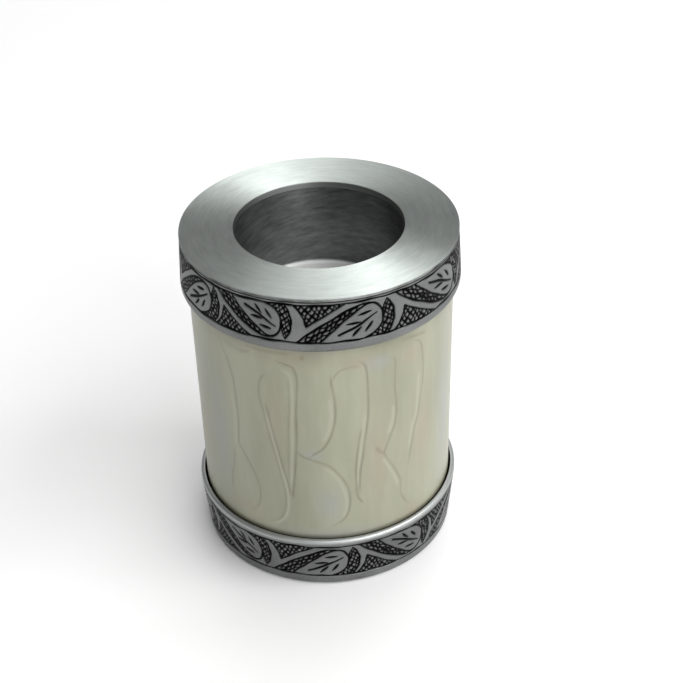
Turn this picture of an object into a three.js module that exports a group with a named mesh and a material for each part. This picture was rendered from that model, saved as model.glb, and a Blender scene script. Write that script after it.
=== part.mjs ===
// A round, free-standing tealight holder of the keepsake kind, in millimetres, +Z up.
//
// A tube carries a thin sleeve of pearl enamel between two engraved metal bands. The upper band
// is the collar: inside it a neck ring holds a turned cup for the tealight, and a flat rim plate
// screws down over the cup's lip with a seal between them. The lower band is the base ring,
// closed by a plate and a felt pad. The origin is at the centre of the felt's underside.

import * as THREE from "three";

// ---------------------------------------------------------------- driving sizes

const SEGMENTS = 72;

// Gaps between two pieces: those fixed to each other, and those that move apart.
const SEAT_GAP = 0.1;
const RUNNING_GAP = 0.3;

// The felt pad and the plate that it is glued to, which closes the base.
const FELT_PROUD = 0.5;
const FELT_THICKNESS = 1.8;
const FELT_RADIUS = 31.8;
const PLATE_THICKNESS = 2.5;

// The tube that everything is built on.
const TUBE_OUTER = 32.4;
const TUBE_INNER = 30.4;
const TUBE_TOP = 84.0;

// The enamel sleeve, which narrows a little towards the base.
const ENAMEL_TOP_RADIUS = 33.75;
const ENAMEL_BOTTOM_RADIUS = 33.25;
const ENAMEL_BOTTOM = 15.5;
const ENAMEL_TOP = 77.0;

// The base ring, wider at its shoulder than at its foot.
const BASE_HEIGHT = 15.8;
const BASE_FOOT_RADIUS = 33.5;
const BASE_SHOULDER_RADIUS = 35.0;
const BASE_SHOULDER_ROUND = 0.8;
const BASE_LOWER_LINE = 2.85;
const BASE_UPPER_LINE = 13.6;

// The collar. Its heights are measured from its own lower edge.
const COLLAR_BOTTOM = 75.9;
const COLLAR_HEIGHT = 13.7;
const COLLAR_LIP_RADIUS = 34.3;
const COLLAR_WIDEST_RADIUS = 35.6;
const COLLAR_TOP_RADIUS = 35.0;
const COLLAR_LOWER_LINE = 3.0;
const COLLAR_UPPER_LINE = 13.1;

// The engraved border lines that edge the ornament on both bands.
const LINE_WIDTH = 0.4;
const LINE_DEPTH = 0.2;

// The rim plate, which screws into the collar.
const RIM_RADIUS = 35.0;
const RIM_EDGE_THICKNESS = 0.9;
const RIM_INNER_THICKNESS = 1.6;
const HOLE_RADIUS = 21.5;
const EDGE_BREAK = 0.2;
const SPIGOT_INNER = 26.8;
const SPIGOT_HEIGHT = 5.5;
const THREAD_PITCH = 2.0;
const THREAD_TURNS = 2;
const THREAD_DEPTH = 0.5;
const THREAD_CREST = 29.2;

// The tealight cup and the ring that it hangs in.
const CUP_DEPTH = 23.9;
const CUP_WALL = 1.2;
const CUP_FLOOR_RADIUS = 21.0;
const CUP_FLOOR_ROUND = 1.5;
const CUP_LIP_RADIUS = 26.1;
const CUP_LIP_THICKNESS = 1.0;
const NECK_INNER = 23.2;
const NECK_UPSTAND_OUTER = 26.4;
const NECK_FLANGE_THICKNESS = 2.4;

// The seal, which lies on the cup's lip.
const SEAL_THICKNESS = 1.0;
const SEAL_OUTER = 26.3;

// ---------------------------------------------------------------- worked-out heights

const TOP = COLLAR_BOTTOM + COLLAR_HEIGHT + RUNNING_GAP + RIM_EDGE_THICKNESS;
const PLATE_BOTTOM = FELT_THICKNESS + SEAT_GAP;
const TUBE_BOTTOM = PLATE_BOTTOM + PLATE_THICKNESS + SEAT_GAP;
const RIM_UNDERSIDE = TOP - RIM_INNER_THICKNESS;
const SPIGOT_BOTTOM = TOP - RIM_EDGE_THICKNESS - SPIGOT_HEIGHT;
const CUP_TOP = RIM_UNDERSIDE - RUNNING_GAP;
const CUP_FLOOR = TOP - CUP_DEPTH;
const CUP_BOTTOM = CUP_FLOOR - CUP_WALL;
const SEAL_BOTTOM = CUP_TOP - SEAL_THICKNESS;
const CUP_LIP_TOP = SEAL_BOTTOM - RUNNING_GAP;
const NECK_LEDGE = CUP_LIP_TOP - CUP_LIP_THICKNESS - RUNNING_GAP;
const NECK_BOTTOM = TUBE_TOP - NECK_FLANGE_THICKNESS;

// ---------------------------------------------------------------- materials

const PEWTER = 0x8a8c87;
const BARE_BRASS = 0xb59b5e;
const PEARL_ENAMEL = 0xb9b9a4;
const RUBBER = 0x1d1d1d;
const FELT = 0x2a2c2b;

function metal(color, roughness) {
  return new THREE.MeshStandardMaterial({ color, roughness, metalness: 1 });
}

function nonMetal(color, roughness) {
  return new THREE.MeshStandardMaterial({ color, roughness, metalness: 0 });
}

// ---------------------------------------------------------------- turned shapes

// A point of a turned outline: its distance from the axis and its height.
function point(radius, height) {
  return new THREE.Vector2(radius, height);
}

// Points along a round between two directions given in degrees.
function round(centreRadius, centreHeight, size, from, to, steps = 4) {
  const points = [];
  for (let step = 0; step <= steps; step += 1) {
    const angle = THREE.MathUtils.degToRad(from + ((to - from) * step) / steps);
    points.push(point(centreRadius + size * Math.cos(angle), centreHeight + size * Math.sin(angle)));
  }
  return points;
}

// A shallow V cut into an outward face, listed upwards.
function engravedLine(radius, height) {
  return [
    point(radius, height - LINE_WIDTH / 2),
    point(radius - LINE_DEPTH, height),
    point(radius, height + LINE_WIDTH / 2),
  ];
}

// The zigzag of a screw thread, listed upwards from its first root.
function threadOutline(root, crest, bottom) {
  const points = [];
  for (let turn = 0; turn < THREAD_TURNS; turn += 1) {
    const start = bottom + turn * THREAD_PITCH;
    points.push(point(root, start + THREAD_PITCH * 0.1));
    points.push(point(crest, start + THREAD_PITCH * 0.4));
    points.push(point(crest, start + THREAD_PITCH * 0.6));
    points.push(point(root, start + THREAD_PITCH * 0.9));
  }
  return points;
}

// Turns an outline about the Z axis. A ring's outline is closed by repeating its first point;
// an outline that starts on the axis also ends on it.
function turned(name, outline, bottom, material) {
  const closesOnAxis = outline[0].x === 0;
  const points = closesOnAxis ? outline : [...outline, outline[0].clone()];
  const local = points.map((corner) => point(corner.x, corner.y - bottom));
  const geometry = new THREE.LatheGeometry(local, SEGMENTS);
  geometry.rotateX(Math.PI / 2);
  const mesh = new THREE.Mesh(geometry, material);
  mesh.name = name;
  mesh.position.z = bottom;
  return mesh;
}

// A plain disc or washer, for pieces with no other shape.
function disc(name, radius, bottom, top, material) {
  const outline = [point(0, bottom), point(radius, bottom), point(radius, top), point(0, top)];
  return turned(name, outline, bottom, material);
}

function washer(name, inner, outer, bottom, top, material) {
  const outline = [point(inner, bottom), point(outer, bottom), point(outer, top), point(inner, top)];
  return turned(name, outline, bottom, material);
}

// ---------------------------------------------------------------- base

function feltPad() {
  return disc("felt_pad", FELT_RADIUS, 0, FELT_THICKNESS, nonMetal(FELT, 1));
}

function basePlate() {
  const top = PLATE_BOTTOM + PLATE_THICKNESS;
  return disc("base_plate", TUBE_OUTER, PLATE_BOTTOM, top, metal(BARE_BRASS, 0.5));
}

// The engraved lower band. Its bore takes the tube, and its mouth takes the enamel's lower edge.
function baseRing() {
  const bottom = FELT_PROUD;
  const top = bottom + BASE_HEIGHT;
  const bore = TUBE_OUTER + SEAT_GAP;
  const mouth = ENAMEL_BOTTOM_RADIUS + RUNNING_GAP;
  const taper = (BASE_SHOULDER_RADIUS - BASE_FOOT_RADIUS) / BASE_UPPER_LINE;
  const lowerRadius = BASE_FOOT_RADIUS + taper * BASE_LOWER_LINE;
  const roundRadius = BASE_SHOULDER_RADIUS - BASE_SHOULDER_ROUND;
  const outline = [
    point(bore, bottom),
    point(BASE_FOOT_RADIUS, bottom),
    ...engravedLine(lowerRadius, bottom + BASE_LOWER_LINE),
    ...engravedLine(BASE_SHOULDER_RADIUS, bottom + BASE_UPPER_LINE),
    ...round(roundRadius, top - BASE_SHOULDER_ROUND, BASE_SHOULDER_ROUND, 0, 90),
    point(mouth, top),
    point(mouth, ENAMEL_BOTTOM - RUNNING_GAP),
    point(bore, ENAMEL_BOTTOM - RUNNING_GAP),
  ];
  return turned("base_ring", outline, bottom, metal(PEWTER, 0.42));
}

// ---------------------------------------------------------------- body

function bodyTube() {
  return washer("body_tube", TUBE_INNER, TUBE_OUTER, TUBE_BOTTOM, TUBE_TOP, metal(BARE_BRASS, 0.45));
}

function enamelSleeve() {
  const inner = TUBE_OUTER + SEAT_GAP;
  const outline = [
    point(inner, ENAMEL_BOTTOM),
    point(ENAMEL_BOTTOM_RADIUS, ENAMEL_BOTTOM),
    point(ENAMEL_TOP_RADIUS, ENAMEL_TOP),
    point(inner, ENAMEL_TOP),
  ];
  return turned("enamel_sleeve", outline, ENAMEL_BOTTOM, nonMetal(PEARL_ENAMEL, 0.18));
}

// The engraved upper band. From below it takes the enamel's edge and the tube; above them its
// bore is threaded for the rim plate.
function topCollar() {
  const top = COLLAR_BOTTOM + COLLAR_HEIGHT;
  const mouth = ENAMEL_TOP_RADIUS + 2 * SEAT_GAP;
  const bore = TUBE_OUTER + SEAT_GAP;
  const step = TUBE_TOP + SEAT_GAP;
  const crest = THREAD_CREST + RUNNING_GAP;
  const lead = crest + THREAD_DEPTH;
  const lipRound = COLLAR_WIDEST_RADIUS - COLLAR_LIP_RADIUS;
  const lowerLine = COLLAR_BOTTOM + COLLAR_LOWER_LINE;
  const upperLine = COLLAR_BOTTOM + COLLAR_UPPER_LINE;
  const thread = threadOutline(lead, crest, step + THREAD_PITCH / 2).reverse();
  const outline = [
    point(mouth, COLLAR_BOTTOM),
    ...round(COLLAR_LIP_RADIUS, COLLAR_BOTTOM + lipRound, lipRound, -90, 0),
    ...engravedLine(COLLAR_WIDEST_RADIUS, lowerLine),
    ...engravedLine(COLLAR_TOP_RADIUS, upperLine),
    point(COLLAR_TOP_RADIUS, top - EDGE_BREAK),
    point(COLLAR_TOP_RADIUS - EDGE_BREAK, top),
    point(lead, top),
    ...thread,
    point(crest, step),
    point(bore, step),
    point(bore, ENAMEL_TOP + RUNNING_GAP),
    point(mouth, ENAMEL_TOP + RUNNING_GAP),
  ];
  return turned("top_collar", outline, COLLAR_BOTTOM, metal(PEWTER, 0.42));
}

// Pressed into the tube's mouth. Its upstand is the ledge that the cup's lip lies on.
function neckRing() {
  const outer = TUBE_INNER - SEAT_GAP;
  const outline = [
    point(NECK_INNER, NECK_BOTTOM),
    point(outer, NECK_BOTTOM),
    point(outer, TUBE_TOP),
    point(NECK_UPSTAND_OUTER, TUBE_TOP),
    point(NECK_UPSTAND_OUTER, NECK_LEDGE),
    point(NECK_INNER, NECK_LEDGE),
  ];
  return turned("neck_ring", outline, NECK_BOTTOM, metal(BARE_BRASS, 0.45));
}

// ---------------------------------------------------------------- cup, seal and rim

function tealightCup() {
  const floorOuter = CUP_FLOOR_RADIUS + CUP_WALL;
  const wallOuter = HOLE_RADIUS + CUP_WALL;
  const outerRound = CUP_FLOOR_ROUND + CUP_WALL;
  const lipBottom = CUP_LIP_TOP - CUP_LIP_THICKNESS;
  const outline = [
    point(0, CUP_BOTTOM),
    ...round(floorOuter - outerRound, CUP_BOTTOM + outerRound, outerRound, -90, 0),
    point(wallOuter, lipBottom),
    point(CUP_LIP_RADIUS, lipBottom),
    point(CUP_LIP_RADIUS, CUP_LIP_TOP),
    point(wallOuter, CUP_LIP_TOP),
    point(wallOuter, CUP_TOP),
    point(HOLE_RADIUS, CUP_TOP),
    ...round(CUP_FLOOR_RADIUS - CUP_FLOOR_ROUND, CUP_FLOOR + CUP_FLOOR_ROUND, CUP_FLOOR_ROUND, 0, -90),
    point(0, CUP_FLOOR),
  ];
  return turned("tealight_cup", outline, CUP_BOTTOM, metal(PEWTER, 0.38));
}

function sealRing() {
  const inner = HOLE_RADIUS + CUP_WALL + RUNNING_GAP;
  return washer("seal_ring", inner, SEAL_OUTER, SEAL_BOTTOM, CUP_TOP, nonMetal(RUBBER, 0.8));
}

// The flat top of the holder, with its opening and the threaded spigot under it.
function rimPlate() {
  const edgeBottom = TOP - RIM_EDGE_THICKNESS;
  const root = THREAD_CREST - THREAD_DEPTH;
  const outline = [
    point(SPIGOT_INNER, SPIGOT_BOTTOM),
    point(root, SPIGOT_BOTTOM),
    ...threadOutline(root, THREAD_CREST, SPIGOT_BOTTOM + THREAD_PITCH / 4),
    point(root, edgeBottom),
    point(RIM_RADIUS, edgeBottom),
    point(RIM_RADIUS, TOP - EDGE_BREAK),
    point(RIM_RADIUS - EDGE_BREAK, TOP),
    point(HOLE_RADIUS + EDGE_BREAK, TOP),
    point(HOLE_RADIUS, TOP - EDGE_BREAK),
    point(HOLE_RADIUS, RIM_UNDERSIDE),
    point(SPIGOT_INNER, RIM_UNDERSIDE),
  ];
  return turned("rim_plate", outline, SPIGOT_BOTTOM, metal(PEWTER, 0.3));
}

// ---------------------------------------------------------------- assembly

const base = new THREE.Group();
base.add(feltPad(), basePlate(), baseRing());

const body = new THREE.Group();
body.add(bodyTube(), enamelSleeve(), topCollar(), neckRing());

const lid = new THREE.Group();
lid.add(tealightCup(), sealRing(), rimPlate());

const holder = new THREE.Group();
holder.add(base, body, lid);

export default holder;
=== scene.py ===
"""Visual model of a round tealight holder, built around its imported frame.

Two engraved pewter-coloured bands hold a pearl enamel body. A brushed rim plate screws down over a
lift-out cup. Everything is in metres, in the frame's own axes: +Z up, and -Y towards the viewer.
"""

import logging
import math
from dataclasses import dataclass
from enum import Enum
from typing import ClassVar, Sequence, Union

import bpy
import numpy as np
from mathutils import Matrix, Vector


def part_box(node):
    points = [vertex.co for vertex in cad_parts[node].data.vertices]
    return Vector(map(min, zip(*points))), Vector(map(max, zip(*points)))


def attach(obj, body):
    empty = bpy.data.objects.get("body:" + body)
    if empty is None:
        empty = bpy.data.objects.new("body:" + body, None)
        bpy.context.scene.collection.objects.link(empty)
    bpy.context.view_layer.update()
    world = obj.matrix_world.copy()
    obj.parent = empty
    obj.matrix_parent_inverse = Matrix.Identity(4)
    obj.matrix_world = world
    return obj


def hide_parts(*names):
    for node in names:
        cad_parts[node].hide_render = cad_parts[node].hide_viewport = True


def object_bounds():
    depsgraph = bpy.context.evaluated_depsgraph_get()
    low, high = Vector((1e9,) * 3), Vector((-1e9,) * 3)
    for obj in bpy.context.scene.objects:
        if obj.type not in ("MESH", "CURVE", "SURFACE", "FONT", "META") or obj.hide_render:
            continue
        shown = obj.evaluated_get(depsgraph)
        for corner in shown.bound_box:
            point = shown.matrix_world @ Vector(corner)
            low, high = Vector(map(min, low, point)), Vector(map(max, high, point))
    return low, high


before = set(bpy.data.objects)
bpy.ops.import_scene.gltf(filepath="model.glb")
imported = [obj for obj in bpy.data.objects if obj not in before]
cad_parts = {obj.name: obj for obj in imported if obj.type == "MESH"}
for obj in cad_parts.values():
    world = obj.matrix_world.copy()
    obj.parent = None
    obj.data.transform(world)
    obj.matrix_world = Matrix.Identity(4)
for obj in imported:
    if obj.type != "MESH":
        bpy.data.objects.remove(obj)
CAD_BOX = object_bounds()

MM = 0.001
LOG = logging.getLogger("tealight_holder")

# Sizes that several pieces share, in millimetres, and numbers of sides round the axis.
THREAD_PITCH = 2.0
THREAD_TURNS = 2
ENGRAVING_DEPTH = 0.22
BORDER_MARGIN = 0.65
ENGRAVED_STEPS = 1150
PLAIN_STEPS = 240

# The share of the full depth under which a cut is left out.
FAINTEST = 0.002

# The turn of a gloss that is stretched across marks that run round the axis.
ROUND_THE_AXIS = 0.25

Point = tuple[float, float]
Colour = tuple[float, float, float]


# ------------------------------------------------------------------ mesh work


@dataclass(frozen=True)
class Extent:
    """The height and radius that a CAD node fills, in millimetres."""

    bottom: float
    top: float
    radius: float

    @classmethod
    def of(cls, node: str) -> "Extent":
        """Measures a CAD node.

        Args:
            node: The node's name.

        Returns:
            The node's lowest and highest level and its largest radius.
        """
        low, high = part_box(node)
        return cls(low.z / MM, high.z / MM, high.x / MM)


def arc(centre: Point, size: float, start: float, end: float, steps: int = 6) -> list[Point]:
    """Points along a round stretch of an outline.

    Args:
        centre: Radius and height of the arc's centre.
        size: The arc's own radius.
        start: First direction in degrees, from outwards towards up.
        end: Last direction in degrees.
        steps: Number of straight stretches.

    Returns:
        The points from start to end.
    """
    angles = np.radians(np.linspace(start, end, steps + 1))
    return [(centre[0] + size * math.cos(a), centre[1] + size * math.sin(a)) for a in angles]


def levels(start: Point, end: Point, count: int) -> list[Point]:
    """Evenly spaced points of a straight stretch.

    Args:
        start: First point, as radius and height.
        end: Last point.
        count: Number of steps between them.

    Returns:
        The points from start to end.
    """
    shares = np.linspace(0.0, 1.0, count + 1)
    return [tuple(np.array(start) * (1 - s) + np.array(end) * s) for s in shares]


def washer(inner: float, outer: float, low: float, high: float) -> list[Point]:
    """Outline of a plain ring, or of a disc where the inner radius is 0."""
    return [(inner, low), (outer, low), (outer, high), (inner, high)]


def thread_rings(root: float, crest: float, start: float) -> list[Point]:
    """Outline of a short thread, drawn as plain rings from the bottom up.

    Args:
        root: Radius between the rings.
        crest: Radius on the rings.
        start: Level where the first turn begins.

    Returns:
        The four corners of every turn.
    """
    tooth = ((root, 0.1), (crest, 0.4), (crest, 0.6), (root, 0.9))
    return [(radius, start + THREAD_PITCH * (turn + share))
            for turn in range(THREAD_TURNS) for radius, share in tooth]


class Lathe:
    """Turns closed outlines into pieces."""

    MERGE = 0.002 * MM
    SMOOTH_ANGLE = math.radians(32)
    BEVEL_ANGLE = math.radians(40)

    @classmethod
    def turn(cls, name: str, outline: Sequence[Point], steps: int) -> bpy.types.Object:
        """Draws an outline out of a circle, one extruded loop for each corner.

        Args:
            name: The piece's name.
            outline: Radius and height of each corner in millimetres. It starts and ends on the
                axis, or else it is closed by returning to its first point.
            steps: Number of sides round the axis.

        Returns:
            The turned piece, at the origin, with its faces pointing out.
        """
        solid = outline[0][0] == 0
        corners = list(outline[1:-1]) if solid else [*outline, outline[0]]
        bpy.ops.object.select_all(action="DESELECT")
        bpy.ops.mesh.primitive_circle_add(vertices=steps, radius=corners[0][0] * MM)
        piece = bpy.context.object
        piece.name = piece.data.name = name
        bpy.ops.object.mode_set(mode="EDIT")
        bpy.ops.mesh.select_all(action="SELECT")
        bpy.ops.transform.translate(value=(0, 0, corners[0][1] * MM))
        for here, there in zip(corners, corners[1:]):
            rise = (0, 0, (there[1] - here[1]) * MM)
            widen = there[0] / here[0]
            bpy.ops.mesh.extrude_edges_move(TRANSFORM_OT_translate={"value": rise})
            bpy.ops.transform.resize(value=(widen, widen, 1), center_override=(0, 0, 0))
        bpy.ops.mesh.select_all(action="SELECT")
        bpy.ops.mesh.remove_doubles(threshold=cls.MERGE)
        if solid:
            bpy.ops.mesh.select_all(action="DESELECT")
            bpy.ops.mesh.select_non_manifold()
            bpy.ops.mesh.edge_face_add()
            bpy.ops.mesh.poke()
            bpy.ops.mesh.select_all(action="SELECT")
        bpy.ops.mesh.normals_make_consistent(inside=False)
        bpy.ops.object.mode_set(mode="OBJECT")
        return piece

    @classmethod
    def break_edges(cls, piece: bpy.types.Object, width: float, segments: int = 2) -> None:
        """Rounds every sharp edge of a piece a little.

        Args:
            piece: The piece.
            width: Width of the rounding in millimetres.
            segments: Number of steps across it.
        """
        bevel = piece.modifiers.new("edge_break", "BEVEL")
        bevel.width = width * MM
        bevel.segments = segments
        bevel.limit_method = "ANGLE"
        bevel.angle_limit = cls.BEVEL_ANGLE
        cls.apply(piece, bevel)

    @staticmethod
    def pick(piece: bpy.types.Object) -> None:
        """Selects one piece and nothing else."""
        bpy.ops.object.select_all(action="DESELECT")
        piece.select_set(True)
        bpy.context.view_layer.objects.active = piece

    @classmethod
    def apply(cls, piece: bpy.types.Object, modifier: bpy.types.Modifier) -> None:
        """Applies one modifier of a piece."""
        cls.pick(piece)
        bpy.ops.object.modifier_apply(modifier=modifier.name)

    @classmethod
    def smooth(cls, piece: bpy.types.Object) -> None:
        """Shades a piece smooth, apart from its sharp edges."""
        cls.pick(piece)
        bpy.ops.object.shade_smooth_by_angle(angle=cls.SMOOTH_ANGLE)


def surface_points(piece: bpy.types.Object) -> np.ndarray:
    """The piece's vertices in millimetres, one row each."""
    points = np.empty(len(piece.data.vertices) * 3, np.float32)
    piece.data.vertices.foreach_get("co", points)
    return points.reshape(-1, 3).astype(float) / MM


def turned_angle(points: np.ndarray) -> np.ndarray:
    """Each point's angle about the axis in radians: 0 at the front, growing towards +X."""
    return np.arctan2(points[:, 0], -points[:, 1])


def store(piece: bpy.types.Object, name: str, values: np.ndarray) -> None:
    """Keeps one number per vertex as an attribute that a material can read."""
    attribute = piece.data.attributes.new(name, "FLOAT", "POINT")
    attribute.data.foreach_set("value", values.astype(np.float32))


def press_in(piece: bpy.types.Object, values: np.ndarray, depth: float) -> None:
    """Sinks a piece's surface where the values say so, apart from the faintest ones.

    Args:
        piece: The piece.
        values: How much of the depth each vertex gets, from 0 to 1.
        depth: The full depth in millimetres.
    """
    group = piece.vertex_groups.new(name="pressed_in")
    for index in np.nonzero(values > FAINTEST)[0]:
        group.add([int(index)], float(values[index]), "REPLACE")
    displace = piece.modifiers.new("pressed_in", "DISPLACE")
    displace.vertex_group = group.name
    displace.mid_level = 0.0
    displace.strength = -depth * MM
    Lathe.apply(piece, displace)
    piece.vertex_groups.clear()


# ------------------------------------------------------------------ drawn lines


def smooth_curve(points: Sequence[Point], per_span: int = 6) -> np.ndarray:
    """Samples a Catmull-Rom curve through its control points.

    Args:
        points: The control points.
        per_span: Number of samples between two control points.

    Returns:
        The sampled points, one row each.
    """
    control = np.array(points, float)
    ends = (2 * control[:1] - control[1:2], control, 2 * control[-1:] - control[-2:-1])
    padded = np.concatenate(ends)
    samples = []
    for index in range(1, len(padded) - 2):
        before, start, end, after = padded[index - 1:index + 3]
        for t in np.arange(per_span) / per_span:
            samples.append(
                0.5 * (2 * start + (end - before) * t
                       + (2 * before - 5 * start + 4 * end - after) * t ** 2
                       + (3 * start - before - 3 * end + after) * t ** 3)
            )
    samples.append(control[-1])
    return np.array(samples)


@dataclass(frozen=True)
class Stroke:
    """One drawn line on an unrolled surface, in millimetres.

    Attributes:
        points: Control points of its smooth curve.
        start_width: Width where it starts.
        end_width: Width where it ends.
        swell: Extra width at its middle.
    """

    points: tuple[Point, ...]
    start_width: float = 0.4
    end_width: float = 0.4
    swell: float = 0.0

    def distance(self, x: np.ndarray, y: np.ndarray) -> tuple[np.ndarray, np.ndarray]:
        """Measures how far places are from the line.

        Args:
            x: Places across the unrolled surface.
            y: Their heights.

        Returns:
            The distances, and the share of the line's length where each is nearest.
        """
        line = smooth_curve(self.points)
        nearest = np.full(x.shape, np.inf)
        share = np.zeros(x.shape)
        count = len(line) - 1
        for index in range(count):
            start, along = line[index], line[index + 1] - line[index]
            t = ((x - start[0]) * along[0] + (y - start[1]) * along[1]) / (along @ along)
            t = np.clip(t, 0, 1)
            away = np.hypot(x - start[0] - t * along[0], y - start[1] - t * along[1])
            closer = away < nearest
            nearest = np.where(closer, away, nearest)
            share = np.where(closer, (index + t) / count, share)
        return nearest, share

    def ink(self, x: np.ndarray, y: np.ndarray, softness: float) -> np.ndarray:
        """How fully the line covers each place, from 0 to 1."""
        away, share = self.distance(x, y)
        width = self.start_width + (self.end_width - self.start_width) * share
        width = width + self.swell * np.sin(np.pi * share)
        return np.clip(0.5 - (away - width / 2) / softness, 0, 1)


@dataclass(frozen=True)
class Hatching:
    """A patch filled with crossed lines, in millimetres.

    Attributes:
        outline: Corners of the patch.
        slopes: Directions of the two sets of lines, in degrees.
        pitch: Distance between neighbouring lines.
        width: Width of a line.
        DRIFT: How far a line wanders, as a share of the pitch.
        SWELL: How much its width varies, as a share of the width.
    """

    outline: tuple[Point, ...]
    slopes: tuple[float, float] = (62.0, -48.0)
    pitch: float = 1.12
    width: float = 0.52

    DRIFT: ClassVar[float] = 0.16
    SWELL: ClassVar[float] = 0.25

    def inside(self, x: np.ndarray, y: np.ndarray) -> np.ndarray:
        """Tells which places lie within the patch."""
        corners = np.array(self.outline)
        within = np.zeros(x.shape, bool)
        for (x0, y0), (x1, y1) in zip(corners, np.roll(corners, -1, axis=0)):
            if y0 == y1:
                continue
            crosses = (y0 > y) != (y1 > y)
            within ^= crosses & (x < (x1 - x0) * (y - y0) / (y1 - y0) + x0)
        return within

    def ink(self, x: np.ndarray, y: np.ndarray, softness: float) -> np.ndarray:
        """How fully the lines cover each place, from 0 to 1."""
        covered = np.zeros(x.shape)
        for slope in self.slopes:
            angle = math.radians(slope)
            unsteady = self.DRIFT * np.sin(1.3 * x + 0.9 * y + slope)
            across = (y * math.cos(angle) - x * math.sin(angle)) / self.pitch + unsteady
            away = np.abs(across - np.round(across)) * self.pitch
            width = self.width * (1 + self.SWELL * np.sin(2.3 * y - 1.7 * x))
            covered = np.maximum(covered, np.clip(0.5 - (away - width / 2) / softness, 0, 1))
        return covered * self.inside(x, y)


class Way(Enum):
    """Which way up a leaf of the running vine lies."""

    RISING = 1
    FALLING = -1


class VineLeaf:
    """One repeat of the engraved vine: a leaf with its veins, stem and hatched ground.

    It is drawn rising to the right, between a border line at height 0 and one at HEIGHT. The
    middle of the leaf's round end is at 0 across, and the repeat before it ends PITCH earlier.
    """

    HEIGHT = 10.0
    PITCH = 24.0
    LEFT_EDGE = -19.5
    RIGHT_EDGE = 7.0

    LEAF = ((-12.4, 0.1), (-9.3, 3.0), (-6.0, 5.8), (-2.7, 8.1), (-0.3, 9.0), (1.7, 8.4),
            (2.9, 6.6), (3.1, 4.3), (2.3, 2.3), (0.6, 0.9), (-1.6, 0.1))
    STEM_UNDER = ((-17.6, 0.2), (-14.7, 2.6), (-10.7, 5.3), (-6.0, 7.9), (-2.7, 9.1), (-0.3, 9.2))
    STEM_OVER = ((-15.4, 4.3), (-12.2, 6.5), (-9.3, 8.3), (-6.0, 10.0))
    HOOK = ((-18.6, 10.0), (-17.0, 8.4), (-16.0, 6.4), (-15.4, 4.3))
    CRESCENT = ((4.2, 9.3), (5.4, 7.7), (6.1, 5.0), (5.5, 2.0), (4.2, 0.1))
    CRESCENT_INNER = ((4.2, 9.3), (3.6, 7.9), (3.1, 6.2))
    MIDRIB = ((-7.8, 1.7), (-3.6, 3.5), (1.5, 6.2))
    VEINS = (((-3.2, 6.4), (0.0, 6.9)), ((-5.9, 4.3), (-2.6, 4.6)),
             ((-4.6, 1.1), (-2.6, 3.2)), ((-1.4, 1.8), (0.3, 4.0)))
    NOTCH = ((-11.2, 3.6), (-9.6, 4.3), (-8.3, 6.4))

    @classmethod
    def strokes(cls, way: Way) -> list[Stroke]:
        """The lines of one repeat.

        Args:
            way: Which way up the leaf lies; a falling leaf's stem also has a notch.

        Returns:
            Every drawn line.
        """
        drawn = [
            Stroke(cls.LEAF, 0.46, 0.46, 0.16),
            Stroke(cls.STEM_UNDER, 0.50, 0.46, 0.16),
            Stroke(cls.STEM_OVER, 0.50, 0.38),
            Stroke(cls.HOOK, 0.38, 0.52),
            Stroke(cls.CRESCENT, 0.42, 0.50, 0.24),
            Stroke(cls.CRESCENT_INNER, 0.36, 0.60),
            Stroke(cls.MIDRIB, 0.62, 0.36, 0.24),
        ]
        drawn.extend(Stroke(vein, 0.30, 0.38, 0.44) for vein in cls.VEINS)
        if way is Way.FALLING:
            drawn.append(Stroke(cls.NOTCH, 0.42, 0.42))
        return drawn

    @classmethod
    def patches(cls, way: Way) -> list[Hatching]:
        """The hatched grounds of one repeat."""
        leaf_back = tuple(cls.LEAF[:4])
        under = tuple(cls.STEM_UNDER[1:5])
        wedge = ((-16.8, 0.0), *under, *reversed(leaf_back), (-12.6, 0.0))
        hook = (*cls.HOOK, *cls.STEM_OVER[1:])
        round_end = tuple(reversed(cls.LEAF[6:]))
        crescent = (*round_end, (3.6, 7.9), *cls.CRESCENT)
        return [
            Hatching(wedge, (68.0, 24.0), 1.05, 0.54),
            Hatching(hook),
            Hatching(crescent, (68.0, -36.0), 1.12, 0.54),
        ]

    @classmethod
    def ink(cls, x: np.ndarray, y: np.ndarray, way: Way, softness: float) -> np.ndarray:
        """How deeply one repeat is cut at each place, from 0 to 1.

        Args:
            x: Places along the band, from the leaf's round end, at the drawn size.
            y: Heights above the lower border line, at the drawn size.
            way: Which way up the leaf lies.
            softness: Width of an edge between metal and cut.

        Returns:
            The share of the full depth at each place.
        """
        ink = np.zeros(x.shape)
        near = (x > cls.LEFT_EDGE) & (x < cls.RIGHT_EDGE) & (y > -1) & (y < cls.HEIGHT + 1)
        along = x[near]
        height = y[near] if way is Way.RISING else cls.HEIGHT - y[near]
        drawn = np.zeros(along.shape)
        for part in (*cls.strokes(way), *cls.patches(way)):
            drawn = np.maximum(drawn, part.ink(along, height, softness))
        ink[near] = drawn
        return ink


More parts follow.
